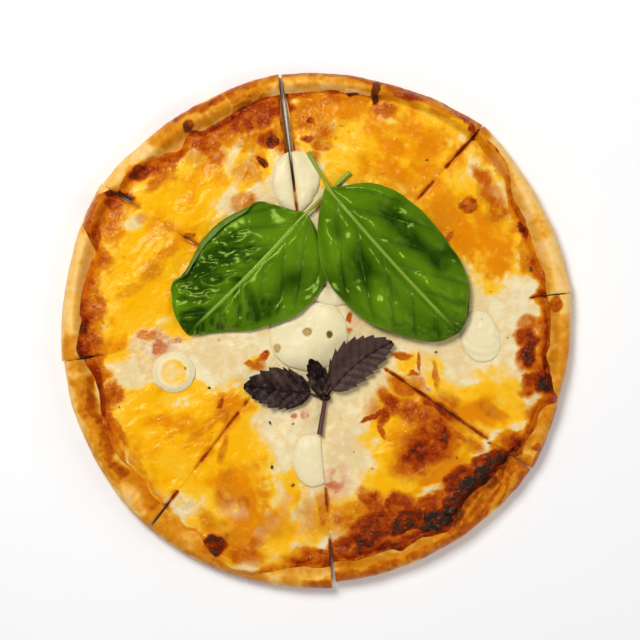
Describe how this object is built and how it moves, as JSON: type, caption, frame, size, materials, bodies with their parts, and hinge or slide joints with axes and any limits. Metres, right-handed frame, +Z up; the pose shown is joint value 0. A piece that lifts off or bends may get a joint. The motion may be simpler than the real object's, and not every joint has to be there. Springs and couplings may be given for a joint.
{
  "type": "four cheese pizza",
  "caption": "Round pizza cut into slices that still lie together, with a raised browned rim, melted cheese, soft cheese rounds, green basil leaves and a purple basil sprig.",
  "frame": {"origin": "middle of the pizza's flat underside, at the centre of its box", "axes": "+Z up through the pizza; +Y towards the open cut at the back and +X to the right of it, seen from above"},
  "size_m": [0.2496, 0.2515, 0.0184],
  "materials": {
    "baked_dough": "dry baked dough, matt, golden with browner edges",
    "melted_cheese": "melted and browned cheese, oily",
    "soft_cheese": "soft white cheese, moist",
    "green_leaf": "fresh leaf, satin",
    "purple_leaf": "dark purple leaf, matt"
  },
  "bodies": {
    "root": {"crust_1": "baked_dough", "crust_2": "baked_dough", "crust_3": "baked_dough", "crust_4": "baked_dough", "crust_5": "baked_dough", "crust_6": "baked_dough", "crust_7": "baked_dough", "crust_8": "baked_dough", "cheese_1": "melted_cheese", "cheese_2": "melted_cheese", "cheese_3": "melted_cheese", "cheese_4": "melted_cheese", "cheese_5": "melted_cheese", "cheese_6": "melted_cheese", "cheese_7": "melted_cheese", "cheese_8": "melted_cheese", "cheese_round_centre": "soft_cheese", "cheese_round_back": "soft_cheese", "cheese_round_left": "soft_cheese", "cheese_round_right": "soft_cheese", "cheese_round_bottom": "soft_cheese", "cheese_round_top_left": "soft_cheese", "cheese_round_top_right": "soft_cheese", "basil_leaf_left": "green_leaf", "basil_leaf_right": "green_leaf", "purple_basil_sprig": "purple_leaf"}
  },
  "joints": []
}
